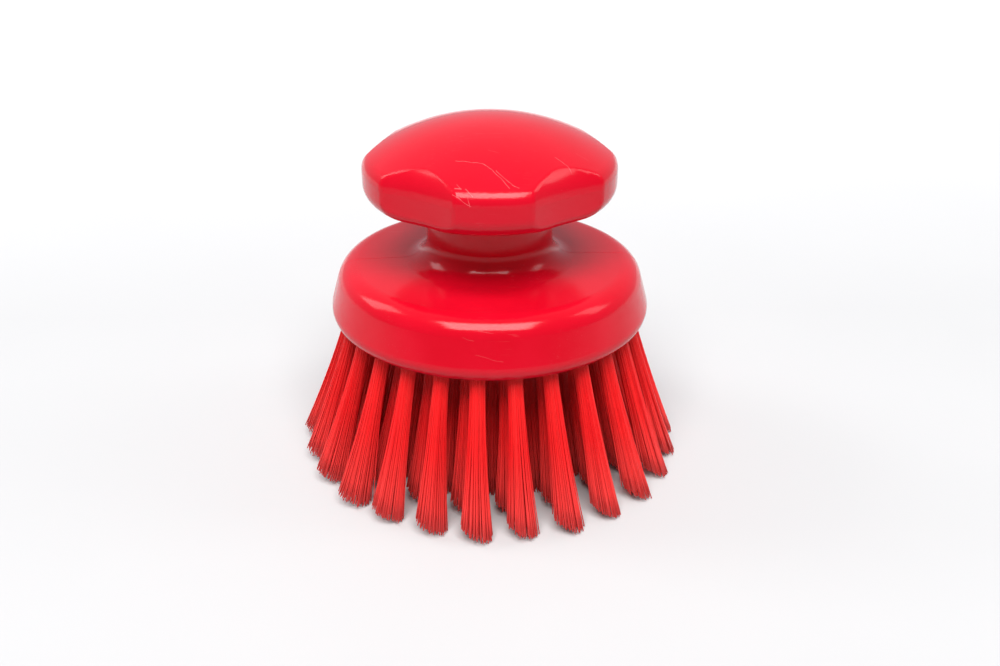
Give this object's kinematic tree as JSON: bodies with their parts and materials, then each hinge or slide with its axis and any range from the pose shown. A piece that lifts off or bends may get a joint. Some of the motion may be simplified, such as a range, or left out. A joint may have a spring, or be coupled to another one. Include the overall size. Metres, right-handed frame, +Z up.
{
  "type": "scrub brush",
  "caption": "Round red hand scrub brush: a glossy one-piece block with a waisted neck and a scalloped palm knob, over rows of stiff bristle tufts.",
  "frame": {"origin": "on the brush axis, in the plane of the bristle tips", "axes": "+Z up through the neck and the knob; -Y to the front, where one lobe of the knob points"},
  "size_m": [0.1348, 0.1348, 0.1195],
  "materials": {
    "block_plastic": "glossy",
    "bristle": "satin",
    "staple_steel": "rolled"
  },
  "bodies": {
    "root": {"anchor_staples": "staple_steel", "brush_block": "block_plastic", "centre_tuft": "bristle", "fifth_row_tuft_01": "bristle", "fifth_row_tuft_02": "bristle", "fifth_row_tuft_03": "bristle", "fifth_row_tuft_04": "bristle", "fifth_row_tuft_05": "bristle", "fourth_row_tufts": "bristle", "outer_tuft_01": "bristle", "outer_tuft_02": "bristle", "outer_tuft_03": "bristle", "outer_tuft_04": "bristle", "outer_tuft_05": "bristle", "outer_tuft_06": "bristle", "outer_tuft_07": "bristle", "outer_tuft_08": "bristle", "outer_tuft_09": "bristle", "outer_tuft_10": "bristle", "outer_tuft_11": "bristle", "outer_tuft_12": "bristle", "outer_tuft_13": "bristle", "outer_tuft_14": "bristle", "outer_tuft_15": "bristle", "outer_tuft_16": "bristle", "outer_tuft_17": "bristle", "outer_tuft_18": "bristle", "outer_tuft_19": "bristle", "outer_tuft_20": "bristle", "outer_tuft_21": "bristle", "outer_tuft_22": "bristle", "outer_tuft_23": "bristle", "outer_tuft_24": "bristle", "outer_tuft_25": "bristle", "outer_tuft_26": "bristle", "second_row_tuft_01": "bristle", "second_row_tuft_02": "bristle", "second_row_tuft_03": "bristle", "second_row_tuft_04": "bristle", "second_row_tuft_05": "bristle", "second_row_tuft_06": "bristle", "second_row_tuft_07": "bristle", "second_row_tuft_08": "bristle", "second_row_tuft_09": "bristle", "second_row_tuft_10": "bristle", "second_row_tuft_11": "bristle", "second_row_tuft_12": "bristle", "second_row_tuft_13": "bristle", "second_row_tuft_14": "bristle", "second_row_tuft_15": "bristle", "second_row_tuft_16": "bristle", "second_row_tuft_17": "bristle", "second_row_tuft_18": "bristle", "second_row_tuft_19": "bristle", "second_row_tuft_20": "bristle", "third_row_tufts": "bristle"}
  },
  "joints": []
}
